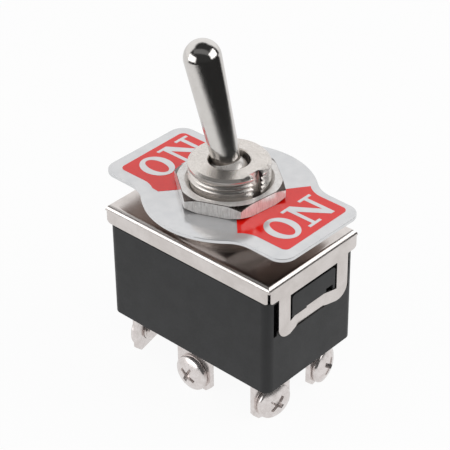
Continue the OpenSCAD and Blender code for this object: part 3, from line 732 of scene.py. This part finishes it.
# %% Turned screw blank
HEAD_RADIUS, HEAD_HEIGHT, HEAD_RIM, RIM_ROUND = 2.9, 1.6, 0.75, 0.28
SHANK_RADIUS, SHANK_END, SHANK_BEVEL = 1.5, -1.6, 0.3

crown = HEAD_HEIGHT - HEAD_RIM
crown_radius = (HEAD_RADIUS ** 2 + crown ** 2) / (2 * crown)
crown_turn = math.degrees(math.asin(HEAD_RADIUS / crown_radius))
master = bmesh.new()
outline = draw(master, (0, HEAD_HEIGHT), ("arc", 0, HEAD_HEIGHT - crown_radius, crown_turn, 12),
               ("line", HEAD_RADIUS, 0), ("line", SHANK_RADIUS, 0),
               ("line", SHANK_RADIUS, SHANK_END + SHANK_BEVEL),
               ("line", SHANK_RADIUS - SHANK_BEVEL, SHANK_END), ("line", 0, SHANK_END))
rim = [v for v in outline if abs(v.co.x - HEAD_RADIUS * MM) < SAME_PLACE]
bmesh.ops.bevel(master, geom=rim, offset=RIM_ROUND * MM, offset_type="OFFSET", segments=3, profile=0.5,
                affect="VERTICES", material=-1)
turn(master, 64)
print("blank, mm3:", round(master.calc_volume(signed=True) / MM ** 3, 2))


# %% Crossed recess and screw thread
ARM_LENGTH, ARM_WIDTH, ARM_TAPER, RECESS_FLOOR, ARM_HEIGHT = 1.95, 1.25, (0.6, 0.3, 1), 0.8, 2
SHANK_PITCH, SHANK_DEPTH = 0.5, 0.28
SHANK_THREAD_LOW, SHANK_THREAD_HIGH = SHANK_END - 0.1, -1.05


def recess_arm(spin):
    """One bar of the cross, narrower at its foot, turned by spin degrees."""
    arm = bmesh.new()
    bmesh.ops.create_cube(arm, size=1.0)
    bmesh.ops.scale(arm, vec=(2 * ARM_LENGTH * MM, ARM_WIDTH * MM, ARM_HEIGHT * MM), verts=arm.verts)
    bmesh.ops.translate(arm, vec=(0, 0, (RECESS_FLOOR + ARM_HEIGHT / 2) * MM), verts=arm.verts)
    foot = [v for v in arm.verts if v.co.z < (RECESS_FLOOR + ARM_HEIGHT / 4) * MM]
    bmesh.ops.scale(arm, vec=ARM_TAPER, verts=foot)
    bmesh.ops.rotate(arm, cent=(0, 0, 0), matrix=Matrix.Rotation(math.radians(spin), 3, "Z"), verts=arm.verts)
    return arm


master = cut(master, recess_arm(0), recess_arm(90))
print("with the recess, mm3:", round(master.calc_volume(signed=True) / MM ** 3, 2))
master = cut(master, groove(SHANK_RADIUS, SHANK_PITCH, SHANK_DEPTH, SHANK_THREAD_LOW, SHANK_THREAD_HIGH, 40))
print("with the thread, mm3:", round(master.calc_volume(signed=True) / MM ** 3, 2))


# %% Six screws in place
SCREW_Z, END_X, END_Y, MIDDLE_Y, END_TURN = -30.7, 13.0, 5.6, 8.4, math.radians(12)
ACROSS, ALONG = {"front": -1, "rear": 1}, {"left": -1, "middle": 0, "right": 1}
RECESS_TURNS = {"front_left": 20, "front_middle": 62, "front_right": 45,
                "rear_left": 70, "rear_middle": 15, "rear_right": 50}

for side, end in ENDS:
    across, along = ACROSS[side], ALONG[end]
    if along:
        spot = (END_X * along, END_Y * across, SCREW_Z)
        facing = math.atan2(across * math.sin(END_TURN), along * math.cos(END_TURN))
    else:
        spot = (0, MIDDLE_Y * across, SCREW_Z)
        facing = math.pi / 2 * across
    bm = master.copy()
    place = Matrix.Translation(Vector(spot) * MM) @ Matrix.Rotation(facing, 4, "Z") @ \
        Matrix.Rotation(math.pi / 2, 4, "Y") @ \
        Matrix.Rotation(math.radians(RECESS_TURNS[f"{side}_{end}"]), 4, "Z")
    bmesh.ops.transform(bm, matrix=place, verts=bm.verts)
    screw = show(f"cross_screw_{side}_{end}", bm, screw_nickel, "body", sharp=30, weighted=False)
    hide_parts(f"screw_{side}_{end}")
print("screws:", len(ENDS), "faces each:", len(master.faces))
master.free()


# %% [markdown]
# ## Red lacquer and lettering
#
# The plate's two tabs carry a red lacquered field whose outline follows the
# plate's edge, with the word ON left bare at each end. The field is a thin
# raised skin; the letters are skins of bare metal that stand a hair higher, so
# nothing lies in the same plane. Each outline is one flat face, drawn from its
# corners and arcs and then given its thickness.

# %% Flat outlines
PLATE_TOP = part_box("legend_plate")[1].z / MM


def skin(bm, low, high):
    """Gives a flat outline its thickness, from low to high in mm."""
    bmesh.ops.translate(bm, vec=(0, 0, low * MM), verts=bm.verts)
    grown = bmesh.ops.extrude_face_region(bm, geom=list(bm.faces))["geom"]
    upper = [v for v in grown if isinstance(v, bmesh.types.BMVert)]
    bmesh.ops.translate(bm, vec=(0, 0, (high - low) * MM), verts=upper)
    bmesh.ops.recalc_face_normals(bm, faces=bm.faces)


def face_through(bm, points):
    """A flat face through the points, in mm."""
    return bm.faces.new([bm.verts.new((x * MM, y * MM, 0)) for x, y in points])


def arc_points(x, y, radius, start, sweep, steps):
    return [(x + radius * math.cos(math.radians(start + sweep * i / steps)),
             y + radius * math.sin(math.radians(start + sweep * i / steps))) for i in range(steps + 1)]


print("plate top, mm:", round(PLATE_TOP, 3))


# %% Lacquered fields
FIELD_END, FIELD_HALF, FIELD_CORNER = 16.05, 6.75, 0.9
CURVE_X, CURVE_RADIUS, HOLE_EDGE, HOLE_HALF = 11.06, 4.15, 6.62, 40
SHIFTED_FROM, LACQUER_SINK, LACQUER_RISE = 7, 0.01, 0.03


def field(name, side, shift, sweep, *tip):
    """One red field: side is 1 or -1 and shift moves its tab in Y.

    sweep is the arc of its waist in degrees, and tip one more corner between the arc and the hole.
    """
    upper = arc_points(CURVE_X, FIELD_HALF + CURVE_RADIUS, CURVE_RADIUS, 270, -sweep, 10) + list(tip)
    lower = [(x, -y) for x, y in reversed(upper)]
    bore = arc_points(0, 0, HOLE_EDGE, HOLE_HALF, -2 * HOLE_HALF, 14)
    bm = bmesh.new()
    face = face_through(bm, [(FIELD_END, -FIELD_HALF), (FIELD_END, FIELD_HALF), *upper, *bore, *lower])
    corners = [v for v in face.verts if abs(v.co.x - FIELD_END * MM) < SAME_PLACE]
    bmesh.ops.bevel(bm, geom=corners, offset=FIELD_CORNER * MM, offset_type="OFFSET", segments=6,
                    profile=0.5, affect="VERTICES", material=-1)
    tab = [v for v in bm.verts if v.co.x > SHIFTED_FROM * MM]
    bmesh.ops.translate(bm, vec=(0, shift * MM, 0), verts=tab)
    bmesh.ops.scale(bm, vec=(side, 1, 1), verts=bm.verts)
    skin(bm, PLATE_TOP - LACQUER_SINK, PLATE_TOP + LACQUER_RISE)
    show(name, bm, red_lacquer, "body", sharp=30, weighted=False)
    print(name, "rises to, mm:", round(PLATE_TOP + LACQUER_RISE, 3))


field("lacquer_right", 1, 0.45, 44.3)
field("lacquer_left", -1, 0.45, 34, (7.45, 7.56))


# %% Letters
LETTER_HEIGHT, LETTER_THICK, LETTER_LIFT = 5.6, 0.05, 0.005
O_CENTRE, O_OUTER, O_INNER = 2.35, (2.35, 2.85), (1.2, 2.15)
N_OUTLINE = [(0, 0), (2.5, 0), (2.5, 0.5), (1.6, 0.5), (1.6, 4.1), (4.6, 0), (5.35, 0), (5.35, 5.1),
             (6.3, 5.1), (6.3, 5.6), (3.75, 5.6), (3.75, 5.1), (4.65, 5.1), (4.65, 1.75), (2.05, 5.6),
             (0, 5.6), (0, 5.1), (0.95, 5.1), (0.95, 0.5), (0, 0.5)]


def letter(name, bm, base_x, left_y):
    """Stands a letter drawn as (along, up) on the plate: along runs +Y and up runs -X."""
    skin(bm, 0, LETTER_THICK)
    foot = Vector((base_x, left_y, PLATE_TOP + LETTER_LIFT)) * MM
    place = Matrix.Translation(foot) @ Matrix.Rotation(math.pi / 2, 4, "Z")
    bmesh.ops.transform(bm, matrix=place, verts=bm.verts)
    show(name, bm, satin_aluminium, "body", sharp=30, weighted=False)


def letter_n():
    bm = bmesh.new()
    face_through(bm, N_OUTLINE)
    return bm


def letter_o():
    """A ring between two ovals."""
    bm = bmesh.new()
    rings = []
    for half_width, half_height in (O_OUTER, O_INNER):
        ring = bmesh.ops.create_circle(bm, segments=64, radius=MM)["verts"]
        bmesh.ops.scale(bm, vec=(half_width, half_height, 1), verts=ring)
        bmesh.ops.translate(bm, vec=(O_CENTRE * MM, LETTER_HEIGHT / 2 * MM, 0), verts=ring)
        rings += list({e for v in ring for e in v.link_edges})
    bmesh.ops.bridge_loops(bm, edges=rings)
    return bm


for end, base_x, o_y, n_y in (("right", 14.9, -4.85, 0.25), ("left", -9.45, -4.7, 0.4)):
    letter(f"letter_n_{end}", letter_n(), base_x, n_y)
    letter(f"letter_o_{end}", letter_o(), base_x, o_y)
print("letter height, mm:", LETTER_HEIGHT)


# %% [markdown] ## Plunger springs  Inside, each plunger is pushed by a small
# coil spring.

# %% Plunger springs
WIRE_RADIUS, COIL_RADIUS, COIL_TURNS, STEPS_PER_TURN = 0.16, 1.14, 4, 36
POLE_Y, COIL_TOP, COIL_BOTTOM = 4.9, -11.856, -13.84


def coil(across):
    """A wound wire under one pole, on the side that across gives, -1 or 1."""
    bm = bmesh.new()
    ring = bmesh.ops.create_circle(bm, segments=10, radius=WIRE_RADIUS * MM)["verts"]
    bmesh.ops.rotate(bm, cent=(0, 0, 0), matrix=Matrix.Rotation(math.pi / 2, 3, "X"), verts=ring)
    bmesh.ops.translate(bm, vec=(COIL_RADIUS * MM, 0, 0), verts=ring)
    steps = STEPS_PER_TURN * COIL_TURNS
    bmesh.ops.spin(bm, geom=ring + list(bm.edges), cent=(0, 0, 0), axis=(0, 0, 1),
                   angle=2 * math.pi * COIL_TURNS, dvec=(0, 0, (COIL_TOP - COIL_BOTTOM) * MM / steps),
                   steps=steps)
    bmesh.ops.holes_fill(bm, edges=[e for e in bm.edges if e.is_boundary])
    bmesh.ops.recalc_face_normals(bm, faces=bm.faces)
    bmesh.ops.translate(bm, vec=(0, across * POLE_Y * MM, COIL_BOTTOM * MM), verts=bm.verts)
    bmesh.ops.transform(bm, matrix=on_lever, verts=bm.verts)
    return bm


for side, across in ACROSS.items():
    spring = show(f"coil_{side}", coil(across), spring_wire, "lever_arm", sharp=40,
                  weighted=False)
    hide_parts(f"plunger_spring_{side}")
    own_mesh(spring)
print("coils:", COIL_TURNS, "turns")


# %% [markdown]
# The dressed model has to stay inside the CAD model's box.
